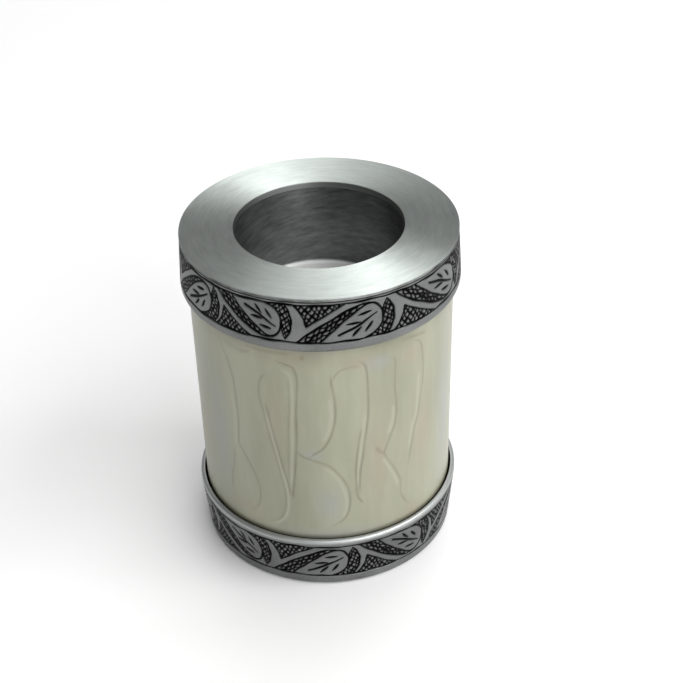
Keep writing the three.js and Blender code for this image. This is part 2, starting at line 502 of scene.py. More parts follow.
@dataclass(frozen=True)
class Vine:
    """A running vine cut into a band between two border lines.

    Attributes:
        bottom: Level of the lower border line in millimetres.
        top: Level of the upper border line.
        radius: The band's mean radius.
        front_leaves: Angles in degrees of the round ends of the leaves at the front.
        first_way: Which way up the first of them lies.
        leaves: Number of leaves round the band.
        border_width: Width of the border lines.
        border_swell: How much it varies, as a share of it.
        softness: Width of an edge between metal and cut.
        wobble: How far the lines wander.
        skin: How far under the mean radius the band's outer face still reaches.
    """

    bottom: float
    top: float
    radius: float
    front_leaves: tuple[float, ...]
    first_way: Way
    leaves: int = 10
    border_width: float = 0.56
    border_swell: float = 0.25
    softness: float = 0.16
    wobble: float = 0.07
    skin: float = 2.5

    def angles(self) -> list[float]:
        """Angle in radians of every leaf: those at the front as given, the others evenly spread."""
        first, last = self.front_leaves[0], self.front_leaves[-1]
        hidden = self.leaves - len(self.front_leaves)
        gap = (360 - (last - first)) / (hidden + 1)
        rest = [last + gap * (index + 1) for index in range(hidden)]
        return [math.radians(a) for a in (*self.front_leaves, *rest)]

    def ink(self, points: np.ndarray) -> np.ndarray:
        """How deeply the band is cut at each of its points.

        Args:
            points: The band's vertices in millimetres.

        Returns:
            The share of the full depth at each vertex, from 0 to 1.
        """
        angle = turned_angle(points)
        # A slow and a quick wave round the band keep its lines from looking ruled.
        waves = np.sin(9 * angle + 1.3) + np.sin(31 * angle)
        level = points[:, 2] + self.wobble * waves
        scale = VineLeaf.HEIGHT / (self.top - self.bottom)
        height = (level - self.bottom) * scale
        ink = np.zeros(len(points))
        centres = self.angles()
        for index, centre in enumerate(centres):
            before = centres[index - 1] - (math.tau if index == 0 else 0)
            pitch = (centre - before) * self.radius
            turn = (angle - centre + math.pi) % math.tau - math.pi
            rising = (index % 2 == 0) == (self.first_way is Way.RISING)
            way = Way.RISING if rising else Way.FALLING
            along = turn * self.radius * VineLeaf.PITCH / pitch
            along = along + self.wobble * np.sin(2.1 * height + 5 * index)
            ink = np.maximum(ink, VineLeaf.ink(along, height, way, self.softness))
        within = (height > 0) & (height < VineLeaf.HEIGHT)
        ink = ink * within
        for border in (self.bottom, self.top):
            width = self.border_width * (1 + self.border_swell * np.sin(23 * angle + border))
            away = np.abs(level - border)
            ink = np.maximum(ink, np.clip(0.5 - (away - width / 2) / self.softness, 0, 1))
        outward = np.hypot(points[:, 0], points[:, 1])
        return ink * (outward > self.radius - self.skin)


# ------------------------------------------------------------------ shader nodes


class Signal:
    """A shader value that can be used in Python expressions."""

    def __init__(self, socket: bpy.types.NodeSocket) -> None:
        """Wraps an output socket."""
        self.socket = socket

    def _math(self, operation: str, *values: "Number") -> "Signal":
        """Adds a Math node that works on the values."""
        tree = self.socket.id_data
        node = tree.nodes.new("ShaderNodeMath")
        node.operation = operation
        for index, value in enumerate(values):
            plug(node.inputs[index], value)
        return Signal(node.outputs[0])

    def __add__(self, other: "Number") -> "Signal":
        """Adds."""
        return self._math("ADD", self, other)

    __radd__ = __add__

    def __sub__(self, other: "Number") -> "Signal":
        """Subtracts."""
        return self._math("SUBTRACT", self, other)

    def __rsub__(self, other: "Number") -> "Signal":
        """Subtracts from a number."""
        return self._math("SUBTRACT", other, self)

    def __mul__(self, other: "Number") -> "Signal":
        """Multiplies."""
        return self._math("MULTIPLY", self, other)

    __rmul__ = __mul__

    def __pow__(self, other: "Number") -> "Signal":
        """Raises to a power."""
        return self._math("POWER", self, other)

    def clamped(self) -> "Signal":
        """Keeps the value between 0 and 1."""
        return self._math("MINIMUM", self._math("MAXIMUM", self, 0.0), 1.0)


Number = Union[Signal, float]
Anything = Union[Signal, float, Sequence[float]]


def plug(socket: bpy.types.NodeSocket, value: Anything) -> None:
    """Links a signal to an input socket, or sets the socket's own value."""
    if isinstance(value, Signal):
        socket.id_data.links.new(value.socket, socket)
    else:
        socket.default_value = value


class Finish:
    """A material under construction, with its Principled shader."""

    TINY = 1e-9

    def __init__(self, name: str) -> None:
        """Starts a material with one Principled shader.

        Args:
            name: The material's name.
        """
        self.material = bpy.data.materials.new(name)
        self.material.use_nodes = True
        self.tree = self.material.node_tree
        self.shader = self.tree.nodes["Principled BSDF"]

    def node(self, kind: str, settings: dict | None = None, inputs: dict | None = None) -> bpy.types.Node:
        """Adds a node.

        Args:
            kind: The node's type.
            settings: Its settings, which are set first.
            inputs: Values or signals for its sockets, by name or number.

        Returns:
            The node.
        """
        node = self.tree.nodes.new(kind)
        for key, value in (settings or {}).items():
            setattr(node, key, value)
        for key, value in (inputs or {}).items():
            plug(node.inputs[key], value)
        return node

    @staticmethod
    def out(node: bpy.types.Node, key: Union[str, int] = 0) -> Signal:
        """One of a node's outputs as a signal."""
        return Signal(node.outputs[key])

    def place(self) -> Signal:
        """The place on the piece, in metres."""
        return self.out(self.node("ShaderNodeTexCoord"), "Object")

    def axes(self) -> tuple[Signal, Signal, Signal]:
        """The place on the piece as three numbers."""
        split = self.node("ShaderNodeSeparateXYZ", inputs={0: self.place()})
        return self.out(split, 0), self.out(split, 1), self.out(split, 2)

    def level(self) -> Signal:
        """Height above the floor, in metres."""
        return self.axes()[2]

    def radius(self) -> Signal:
        """Distance from the axis, in metres."""
        x, y, _ = self.axes()
        return (x * x + y * y) ** 0.5

    def noise(self, per_mm: float, detail: float = 3.0, roughness: float = 0.5,
              vector: Signal | None = None) -> Signal:
        """Cloudy noise.

        Args:
            per_mm: Number of features in a millimetre.
            detail: How many finer layers it has.
            roughness: How strong they are.
            vector: Where it is read; the place on the piece by default.

        Returns:
            A value from 0 to 1.
        """
        values = {"Scale": per_mm / MM, "Detail": detail, "Roughness": roughness}
        values["Vector"] = vector or self.place()
        return self.out(self.node("ShaderNodeTexNoise", inputs=values), 0)

    def rings(self, per_mm: float, along: Signal, detail: float = 2.0) -> Signal:
        """Noise that changes only with one length, as turning marks do."""
        values = {"W": along, "Scale": per_mm / MM, "Detail": detail, "Roughness": 0.6}
        settings = {"noise_dimensions": "1D"}
        return self.out(self.node("ShaderNodeTexNoise", settings, values), 0)

    def brushed(self, per_mm: float, across: Signal, detail: float = 4.0, reach: float = 4.0) -> Signal:
        """Noise drawn out round the axis, as brushing and turning marks are.

        Args:
            per_mm: Number of marks in a millimetre.
            across: The length that the marks lie side by side in, in metres.
            detail: How many finer layers it has.
            reach: Length of the marks; a smaller number gives longer ones.

        Returns:
            A value from 0 to 1.
        """
        x, y, _ = self.axes()
        turn = (x * x + y * y + self.TINY) ** -0.5 * (reach * MM)
        marks = self.node("ShaderNodeCombineXYZ", inputs={0: across, 1: x * turn, 2: y * turn})
        return self.noise(per_mm, detail, 0.6, self.out(marks))

    def attribute(self, name: str) -> Signal:
        """A number kept on the mesh."""
        return self.out(self.node("ShaderNodeAttribute", {"attribute_name": name}), "Fac")

    def spread(self, value: Signal, low: float, high: float) -> Signal:
        """Stretches the part of a value between low and high to the range from 0 to 1."""
        settings = {"clamp": True}
        inputs = {"Value": value, "From Min": low, "From Max": high}
        return self.out(self.node("ShaderNodeMapRange", settings, inputs), 0)

    def mix(self, share: Number, first: Anything, second: Anything) -> Signal:
        """Mixes two colours.

        Args:
            share: Share of the second colour.
            first: First colour or signal.
            second: Second colour or signal.

        Returns:
            The mixed colour.
        """
        colours = [(*c, 1.0) if isinstance(c, tuple) and len(c) == 3 else c for c in (first, second)]
        inputs = {0: share, 6: colours[0], 7: colours[1]}
        return self.out(self.node("ShaderNodeMix", {"data_type": "RGBA"}, inputs), 2)

    def bump(self, height: Signal, depth: float, strength: float = 1.0,
             normal: Signal | None = None) -> Signal:
        """Turns a height into a bent normal.

        Args:
            height: The height, from 0 to 1.
            depth: What a height of 1 stands for, in millimetres.
            strength: How much of it shows.
            normal: The normal under it.

        Returns:
            The bent normal.
        """
        inputs = {"Height": height, "Distance": depth * MM, "Strength": strength}
        if normal is not None:
            inputs["Normal"] = normal
        return self.out(self.node("ShaderNodeBump", inputs=inputs), 0)

    def set(self, **sockets: Anything) -> None:
        """Sets sockets of the shader; Base_Color stands for Base Color."""
        for key, value in sockets.items():
            plug(self.shader.inputs[key.replace("_", " ")], value)


@dataclass(frozen=True)
class EngravedPewter:
    """Satin pewter-grey metal whose cuts are filled with dark wax; the same colour paints shade in the
    base ring's crease.
    """

    dark: Colour = (0.124, 0.127, 0.126)
    light: Colour = (0.212, 0.216, 0.214)
    glint: Colour = (0.38, 0.39, 0.39)
    burnished: Colour = (0.54, 0.56, 0.55)
    wax_and_shade: Colour = (0.002, 0.002, 0.002)
    glint_share: float = 0.3
    burnished_share: float = 0.8
    roughness: float = 0.38

    def make(self) -> bpy.types.Material:
        """Builds the material."""
        finish = Finish("engraved_pewter")
        clouds = finish.spread(finish.noise(per_mm=0.09, detail=4.0), 0.3, 0.7)
        grain = finish.noise(per_mm=2.6, detail=4.0, roughness=0.7)
        marks = finish.rings(per_mm=5.0, along=finish.level())
        # The ink attribute holds the engraved cuts and, on the base ring, the painted shade in the crease
        # at the enamel.
        ink = finish.attribute("ink")
        polish = finish.attribute("polish")
        metal = finish.mix(clouds, self.dark, self.light)
        metal = finish.mix(finish.spread(grain, 0.4, 0.75) * self.glint_share, metal, self.glint)
        metal = finish.mix(polish * self.burnished_share, metal, self.burnished)
        turned = finish.bump(marks, depth=0.008, strength=0.5)
        finish.set(
            Base_Color=finish.mix(ink, metal, self.wax_and_shade),
            Metallic=1.0,
            Roughness=(self.roughness + grain * 0.16 + clouds * 0.06 + ink * 0.2).clamped(),
            Normal=finish.bump(grain, depth=0.02, strength=0.5, normal=turned),
        )
        return finish.material


@dataclass(frozen=True)
class BrushedRim:
    """The same metal, left bright and brushed in circles.

    Attributes:
        top: Level of the face in metres. The edge under it is duller.
        face_depth: Depth in millimetres down to which the face's own colour reaches.
        side_depth: Depth from which the side is fully dull.
        bore_end: Radius in millimetres inside which the side is the bore's.
        edge_start: Radius outside which it is the outer edge's.
    """

    top: float
    face_depth: float = 0.1
    side_depth: float = 0.3
    bore_end: float = 24.0
    edge_start: float = 25.0
    dark: Colour = (0.44, 0.475, 0.455)
    light: Colour = (0.60, 0.64, 0.615)
    edge: Colour = (0.30, 0.31, 0.305)
    grime_and_painted_shade: Colour = (0.03, 0.032, 0.03)
    bore: Colour = (0.22, 0.23, 0.225)
    grime_share: float = 0.75
    roughness: float = 0.46
    stretch: float = 0.9

    def make(self) -> bpy.types.Material:
        """Builds the material."""
        finish = Finish("brushed_rim")
        radius = finish.radius()
        level = finish.level()
        marks = finish.brushed(per_mm=1.1, across=radius)
        fine = finish.brushed(per_mm=5.0, across=radius, detail=3.0, reach=2.0)
        clouds = finish.noise(per_mm=0.06, detail=3.0)
        share = finish.spread(marks * 0.45 + fine * 0.25 + clouds * 0.3, 0.36, 0.64)
        side = 1 - finish.spread(level, self.top - self.side_depth * MM, self.top - self.face_depth * MM)
        outer = finish.spread(radius, self.bore_end * MM, self.edge_start * MM)
        dirt = finish.spread(finish.brushed(per_mm=0.5, across=level, detail=5.0, reach=12.0), 0.42, 0.6)
        clean = finish.mix(outer, self.bore, self.edge)
        # Streaks of dirt darken the outer edge.
        edge = finish.mix(outer * dirt * self.grime_share, clean, self.grime_and_painted_shade)
        finish.set(
            Base_Color=finish.mix(side, finish.mix(share, self.dark, self.light), edge),
            Metallic=1.0,
            Roughness=(self.roughness + marks * 0.08 + fine * 0.06).clamped(),
            Anisotropic=self.stretch,
            Anisotropic_Rotation=ROUND_THE_AXIS,
            Normal=finish.bump(fine, depth=0.012, strength=0.35),
        )
        return finish.material


@dataclass(frozen=True)
class TurnedWell:
    """The inside of the cup: dull grey metal with turning marks, brighter on its floor.

    Attributes:
        floor: Level of the cup's floor in metres.
        floor_reach: Height in millimetres up to which the floor's own look holds.
        wall_start: Height from which the wall's look holds.
        drift: How far the marks climb while they run round.
    """

    floor: float
    floor_reach: float = 0.2
    wall_start: float = 0.7
    drift: float = 0.14
    dark: Colour = (0.095, 0.099, 0.097)
    light: Colour = (0.205, 0.213, 0.209)
    bright: Colour = (0.96, 0.97, 0.96)
    floor_bareness: float = 0.75
    roughness: float = 0.36
    stretch: float = 0.5

    def make(self) -> bpy.types.Material:
        """Builds the material."""
        finish = Finish("turned_well")
        x, _, level = finish.axes()
        across = level + finish.radius() * 0.8 - x * self.drift
        marks = finish.brushed(per_mm=0.9, across=across, detail=5.0, reach=5.0)
        clouds = finish.noise(per_mm=0.07, detail=3.0)
        wall = finish.mix(finish.spread(marks * 0.7 + clouds * 0.3, 0.34, 0.68), self.dark, self.light)
        low, high = self.floor + self.floor_reach * MM, self.floor + self.wall_start * MM
        ground = 1 - finish.spread(level, low, high)
        finish.set(
            Base_Color=finish.mix(ground, wall, self.bright),
            Metallic=1 - ground * self.floor_bareness,
            Roughness=(self.roughness + clouds * 0.16 + ground * 0.15).clamped(),
            Anisotropic=self.stretch,
            Anisotropic_Rotation=ROUND_THE_AXIS,
            Normal=finish.bump(marks, depth=0.02, strength=0.4),
        )
        return finish.material


@dataclass(frozen=True)
class PearlEnamel:
    """Glossy cream enamel with clouded patches, pale ribbons, thin darker lines and painted shade by the
    bands.
    """

    cream: Colour = (0.252, 0.256, 0.181)
    pale: Colour = (0.322, 0.327, 0.240)
    blush: Colour = (0.308, 0.268, 0.196)
    cool: Colour = (0.285, 0.292, 0.280)
    line: Colour = (0.120, 0.108, 0.078)
    ribbon: Colour = (0.420, 0.420, 0.335)
    stain: Colour = (0.140, 0.115, 0.068)
    patch_share: float = 0.6
    streak_share: float = 0.16
    ribbon_share: float = 0.42
    squeeze: float = 0.22
    roughness: float = 0.29

    def make(self) -> bpy.types.Material:
        """Builds the material."""
        finish = Finish("pearl_enamel")
        upright = self.upright(finish)
        clouds = finish.spread(finish.noise(0.07, 3.0, 0.5, upright), 0.34, 0.66)
        streaks = finish.noise(0.55, 3.0, 0.55, upright)
        fade = finish.spread(finish.noise(per_mm=0.12, detail=2.0), 0.3, 0.65)
        line_share = 0.40 + fade * 0.30
        stain_share = 0.1 + fade * 0.4
        tone = finish.mix(clouds, self.cream, self.pale)
        tone = finish.mix(finish.attribute("blush") * self.patch_share, tone, self.blush)
        tone = finish.mix(finish.attribute("cool") * self.patch_share, tone, self.cool)
        tone = finish.mix(finish.spread(streaks, 0.5, 0.8) * self.streak_share, tone, self.ribbon)
        tone = finish.mix(finish.attribute("ribbon") * self.ribbon_share, tone, self.ribbon)
        # The line attribute also holds painted shade where the enamel meets the bands; this mix paints it
        # in the line colour.
        tone = finish.mix(finish.attribute("line") * line_share, tone, self.line)
        tone = finish.mix(finish.attribute("stain") * stain_share, tone, self.stain)
        waves = finish.noise(per_mm=0.08, detail=1.0)
        finish.set(
            Base_Color=tone,
            Roughness=(self.roughness + streaks * 0.06 + clouds * 0.04).clamped(),
            Normal=finish.bump(waves, depth=0.1, strength=0.3),
        )
        return finish.material

    def upright(self, finish: Finish) -> Signal:
        """The place on the enamel with its height squeezed, so that clouds run up and down."""
        x, y, level = finish.axes()
        inputs = {0: x, 1: y, 2: level * self.squeeze}
        return finish.out(finish.node("ShaderNodeCombineXYZ", inputs=inputs))


@dataclass(frozen=True)
class TurnedBrass:
    """Bare brass of the hidden parts, dulled and marked by the lathe."""

    bright: Colour = (0.62, 0.45, 0.20)
    dull: Colour = (0.36, 0.25, 0.12)
    roughness: float = 0.28

    def make(self) -> bpy.types.Material:
        """Builds the material."""
        finish = Finish("turned_brass")
        rings = finish.rings(per_mm=2.0, along=finish.level() + finish.radius(), detail=3.0)
        tarnish = finish.spread(finish.noise(per_mm=0.12, detail=5.0, roughness=0.6), 0.4, 0.7)
        finish.set(
            Base_Color=finish.mix((tarnish * 0.8 + rings * 0.2).clamped(), self.bright, self.dull),
            Metallic=1.0,
            Roughness=(self.roughness + tarnish * 0.25).clamped(),
            Normal=finish.bump(rings, depth=0.02, strength=0.5),
        )
        return finish.material


@dataclass(frozen=True)
class Silicone:
    """Soft black silicone with a dusty bloom."""

    black: Colour = (0.012, 0.012, 0.013)
    dust: Colour = (0.05, 0.05, 0.052)
    roughness: float = 0.5

    def make(self) -> bpy.types.Material:
        """Builds the material."""
        finish = Finish("silicone")
        bloom = finish.spread(finish.noise(per_mm=0.6, detail=5.0, roughness=0.65), 0.45, 0.75)
        grain = finish.noise(per_mm=3.0, detail=3.0)
        finish.set(
            Base_Color=finish.mix(bloom, self.black, self.dust),
            Roughness=(self.roughness + bloom * 0.3).clamped(),
            Normal=finish.bump(grain, depth=0.02, strength=0.6),
        )
        return finish.material


@dataclass(frozen=True)
class Felt:
    """Short dark felt."""

    dark: Colour = (0.012, 0.014, 0.013)
    light: Colour = (0.06, 0.065, 0.06)
    roughness: float = 0.9
    sheen: float = 0.4

    def make(self) -> bpy.types.Material:
        """Builds the material."""
        finish = Finish("felt")
        fibres = finish.noise(per_mm=3.5, detail=6.0, roughness=0.75)
        tufts = finish.noise(per_mm=0.5, detail=3.0)
        share = finish.spread(fibres * 0.7 + tufts * 0.3, 0.35, 0.7)
        finish.set(
            Base_Color=finish.mix(share, self.dark, self.light),
            Roughness=(self.roughness + tufts * 0.1).clamped(),
            Sheen_Weight=self.sheen,
            Normal=finish.bump(fibres, depth=0.15, strength=0.9),
        )
        return finish.material


@dataclass(frozen=True)
class WhiteTable:
    """Matt white table top, hardly clouded."""

    white: Colour = (0.95, 0.95, 0.95)
    bright: Colour = (0.97, 0.97, 0.97)
    roughness: float = 0.6

    def make(self) -> bpy.types.Material:
        """Builds the material."""
        finish = Finish("white_table")
        clouds = finish.noise(per_mm=0.01, detail=2.0)
        finish.set(Base_Color=finish.mix(clouds, self.white, self.bright), Roughness=self.roughness)
        return finish.material


# ------------------------------------------------------------------ pieces


class Piece:
    """A finished piece that stands for one CAD node."""

    def __init__(self, node: str, body: str, slot: str, mesh: bpy.types.Object,
                 material: bpy.types.Material) -> None:
        """Dresses a mesh and ties it to the frame.

        Args:
            node: The CAD node that it replaces.
            body: The body that it rides on.
            slot: A material slot name; not used.
            mesh: The piece's mesh object.
            material: Its material.
        """
        Lathe.smooth(mesh)
        mesh.data.materials.clear()
        mesh.data.materials.append(material)
        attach(mesh, body)
        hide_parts(node)
        LOG.info("%s: %d faces on body %s", mesh.name, len(mesh.data.polygons), body)


@dataclass
class Base:
    """The foot of the holder: felt, closing plate and the engraved ring, in millimetres.

    Attributes:
        foot_radius: Radius where the ring stands.
        lower_line: Height of the lower border line above the ring's foot.
        upper_line: Height of the upper one.
        shoulder_round: Rounding of the ring's shoulder.
        mouth_radius: Inner radius beside the enamel.
        bore_radius: Inner radius under the enamel.
        ledge_drop: Depth of the ledge at the enamel's foot.
        foot_round: Rounding of the ring's foot.
        crease_width: Width of the painted shade in the crease along the mouth.
        crease_step: Width over which it fades, and size of the mouth's broken edge.
        strip: Height of plain metal over the upper line, before the burnished shoulder.
        strip_fade: Height over which the burnish sets in.
        rows: Number of rows of faces up the ring's outer face.
        plate_break: Rounding of the plate's edges.
        felt_round: Rounding of the felt's lower edge.
        felt_flat: Radius where the felt's rows of faces begin.
        disc_steps: Number of sides of the plate and the felt.
        FRONT_LEAVES: Angles of the leaves at the front, in degrees.
    """

    foot_radius: float = 33.5
    lower_line: float = 2.85
    upper_line: float = 13.6
    shoulder_round: float = 0.9
    mouth_radius: float = 33.55
    bore_radius: float = 32.5
    ledge_drop: float = 1.1
    foot_round: float = 0.4
    crease_width: float = 0.4
    crease_step: float = 0.1
    strip: float = 1.15
    strip_fade: float = 0.3
    rows: int = 60
    plate_break: float = 0.2
    felt_round: float = 0.6
    felt_flat: float = 8.0
    disc_steps: int = 180

    FRONT_LEAVES: ClassVar[tuple[float, ...]] = (-35.9, 3.3, 40.9)

    def build(self, pewter: bpy.types.Material, brass: bpy.types.Material,
              felt: bpy.types.Material) -> None:
        """Makes the three pieces."""
        Piece("base_ring", "holder", "pewter_finish", self.ring(), pewter)
        Piece("base_plate", "holder", "bare_brass", self.plate(), brass)
        Piece("felt_pad", "holder", "felt", self.pad(), felt)

    def ring(self) -> bpy.types.Object:
        """The engraved ring."""
        size = Extent.of("base_ring")
        low, high = size.bottom, size.top
        ledge = high - self.ledge_drop
        shoulder = (size.radius - self.shoulder_round, high - self.shoulder_round)
        taper = (size.radius - self.foot_radius) / self.upper_line
        zone_low, zone_high = low + self.lower_line, low + self.upper_line
        low_radius = self.foot_radius + taper * self.lower_line
        crease_end = self.mouth_radius + self.crease_width
        outline = [
            (self.bore_radius, low),
            *arc((self.foot_radius - self.foot_round, low + self.foot_round), self.foot_round, -90, 0, 4),
            *levels((low_radius - taper * BORDER_MARGIN, zone_low - BORDER_MARGIN),
                    (size.radius, zone_high + BORDER_MARGIN), self.rows),
            *arc(shoulder, self.shoulder_round, 0, 90, 8),
            (crease_end, high),
            (crease_end - self.crease_step, high),
            (self.mouth_radius + self.crease_step, high),
            (self.mouth_radius, high - self.crease_step),
            (self.mouth_radius, ledge),
            (self.bore_radius, ledge),
        ]
        piece = Lathe.turn("engraved_base_ring", outline, ENGRAVED_STEPS)
        middle = (low_radius + size.radius) / 2
        vine = Vine(zone_low, zone_high, middle, self.FRONT_LEAVES, Way.FALLING)
        points = surface_points(piece)
        ink = vine.ink(points)
        outward = np.hypot(points[:, 0], points[:, 1])
        # Painted shade: the ring's top takes the dark wax colour in the crease where it meets the enamel.
        crease_shade = np.clip((crease_end - outward) / self.crease_step, 0, 1)
        crease_shade = crease_shade * (points[:, 2] > zone_high)
        store(piece, "ink", np.maximum(ink, crease_shade))
        store(piece, "polish", np.clip((points[:, 2] - zone_high - self.strip) / self.strip_fade, 0, 1))
        press_in(piece, ink, ENGRAVING_DEPTH)
        return piece

    def plate(self) -> bpy.types.Object:
        """The disc that closes the ring."""
        size = Extent.of("base_plate")
        outline = washer(0, size.radius, size.bottom, size.top)
        piece = Lathe.turn("closing_plate", outline, self.disc_steps)
        Lathe.break_edges(piece, self.plate_break)
        return piece

    def pad(self) -> bpy.types.Object:
        """The felt under the plate, a little fuller at its edge."""
        size = Extent.of("felt_pad")
        edge = size.radius - self.felt_round
        outline = [
            (0, size.bottom),
            *levels((self.felt_flat, size.bottom), (edge, size.bottom), 6),
            *arc((edge, size.bottom + self.felt_round), self.felt_round, -75, 0, 4),
            (size.radius, size.top),
            (0, size.top),
        ]
        return Lathe.turn("felt_foot_pad", outline, self.disc_steps)


@dataclass
class Body:
    """The tube with its enamel, the collar and the ring in its mouth, in millimetres.

    Attributes:
        tube_inner: Inner radius of the tube.
        enamel_inner: Inner radius of the enamel.
        enamel_foot_radius: Outer radius at the enamel's lower edge.
        collar_lower_line: Height of the lower border line above the collar's lower edge.
        collar_upper_line: Height of the upper one.
        collar_top_radius: Outer radius at the collar's top.
        collar_lip_radius: Radius where the lower edge has rolled in to the enamel.
        collar_mouth_radius: Inner radius beside the enamel.
        collar_mouth_depth: Height of that wider mouth.
        collar_edge: Size of the broken upper edge.
        collar_shelf: Height of the shelf over the tube's end.
        thread_root: Radius of the bore between the thread's rings.
        thread_crest: Radius of the bore on the thread's rings.
        neck_inner: Inner radius of the neck ring.
        neck_upstand_outer: Outer radius of its raised part.
        edge_break: Rounding of the tube's and the neck ring's edges.
        rows: Number of rows of faces up the collar's outer face.
        enamel_rows: The same for the enamel.
        enamel_steps: Number of sides of the enamel.
        FRONT_LEAVES: Angles of the leaves at the front, in degrees.
    """

    tube_inner: float = 30.4
    enamel_inner: float = 32.5
    enamel_foot_radius: float = 33.25
    collar_lower_line: float = 3.0
    collar_upper_line: float = 13.1
    collar_top_radius: float = 35.0
    collar_lip_radius: float = 34.3
    collar_mouth_radius: float = 33.95
    collar_mouth_depth: float = 1.4
    collar_edge: float = 0.15
    collar_shelf: float = 8.2
    thread_root: float = 30.0
    thread_crest: float = 29.5
    neck_inner: float = 23.2
    neck_upstand_outer: float = 26.4
    edge_break: float = 0.15
    rows: int = 58
    enamel_rows: int = 150
    enamel_steps: int = 640

    FRONT_LEAVES: ClassVar[tuple[float, ...]] = (-52.2, -19.6, 19.6, 61.6)

    def build(self, pewter: bpy.types.Material, brass: bpy.types.Material,
              enamel: bpy.types.Material) -> None:
        """Makes the four pieces."""
        Piece("top_collar", "holder", "pewter_finish", self.collar(), pewter)
        Piece("enamel_sleeve", "holder", "pearl_enamel", self.enamel(), enamel)
        Piece("body_tube", "holder", "bare_brass", self.tube(), brass)
        Piece("neck_ring", "holder", "bare_brass", self.neck(), brass)

    def collar(self) -> bpy.types.Object:
        """The engraved upper band with its threaded bore."""
        size = Extent.of("top_collar")
        low, high = size.bottom, size.top
        lip = size.radius - self.collar_lip_radius
        zone_low, zone_high = low + self.collar_lower_line, low + self.collar_upper_line
        shelf = low + self.collar_shelf
        thread = thread_rings(self.thread_root, self.thread_crest, shelf + THREAD_PITCH / 2)
        outline = [
            (self.collar_mouth_radius, low),
            *arc((self.collar_lip_radius, low + lip), lip, -90, 0, 8),
            *levels((size.radius, zone_low - BORDER_MARGIN),
                    (self.collar_top_radius, zone_high + BORDER_MARGIN), self.rows),
            (self.collar_top_radius - self.collar_edge, high),
            (self.thread_root, high),
            *reversed(thread),
            (self.thread_crest, shelf),
            (self.enamel_inner, shelf),
            (self.enamel_inner, low + self.collar_mouth_depth),
            (self.collar_mouth_radius, low + self.collar_mouth_depth),
        ]
        piece = Lathe.turn("engraved_collar", outline, ENGRAVED_STEPS)
        middle = (size.radius + self.collar_top_radius) / 2
        vine = Vine(zone_low, zone_high, middle, self.FRONT_LEAVES, Way.RISING)
        ink = vine.ink(surface_points(piece))
        store(piece, "ink", ink)
        press_in(piece, ink, ENGRAVING_DEPTH)
        return piece

    def enamel(self) -> bpy.types.Object:
        """The enamel sleeve."""
        size = Extent.of("enamel_sleeve")
        outline = [
            (self.enamel_inner, size.bottom),
            *levels((self.enamel_foot_radius, size.bottom), (size.radius, size.top), self.enamel_rows),
            (self.enamel_inner, size.top),
        ]
        piece = Lathe.turn("pearl_enamel_sleeve", outline, self.enamel_steps)
        for name, values in Swirls(size.bottom, size.radius).drawn(surface_points(piece)).items():
            store(piece, name, values)
        return piece

    def tube(self) -> bpy.types.Object:
        """The tube under the enamel."""
        size = Extent.of("body_tube")
        outline = washer(self.tube_inner, size.radius, size.bottom, size.top)
        piece = Lathe.turn("core_tube", outline, PLAIN_STEPS)
        Lathe.break_edges(piece, self.edge_break)
        return piece

    def neck(self) -> bpy.types.Object:
        """The ring that the cup hangs in."""
        size = Extent.of("neck_ring")
        tube_top = Extent.of("body_tube").top
        outline = [
            (self.neck_inner, size.bottom),
            (size.radius, size.bottom),
            (size.radius, tube_top),
            (self.neck_upstand_outer, tube_top),
            (self.neck_upstand_outer, size.top),
            (self.neck_inner, size.top),
        ]
        piece = Lathe.turn("neck_ledge_ring", outline, PLAIN_STEPS)
        Lathe.break_edges(piece, self.edge_break)
        return piece


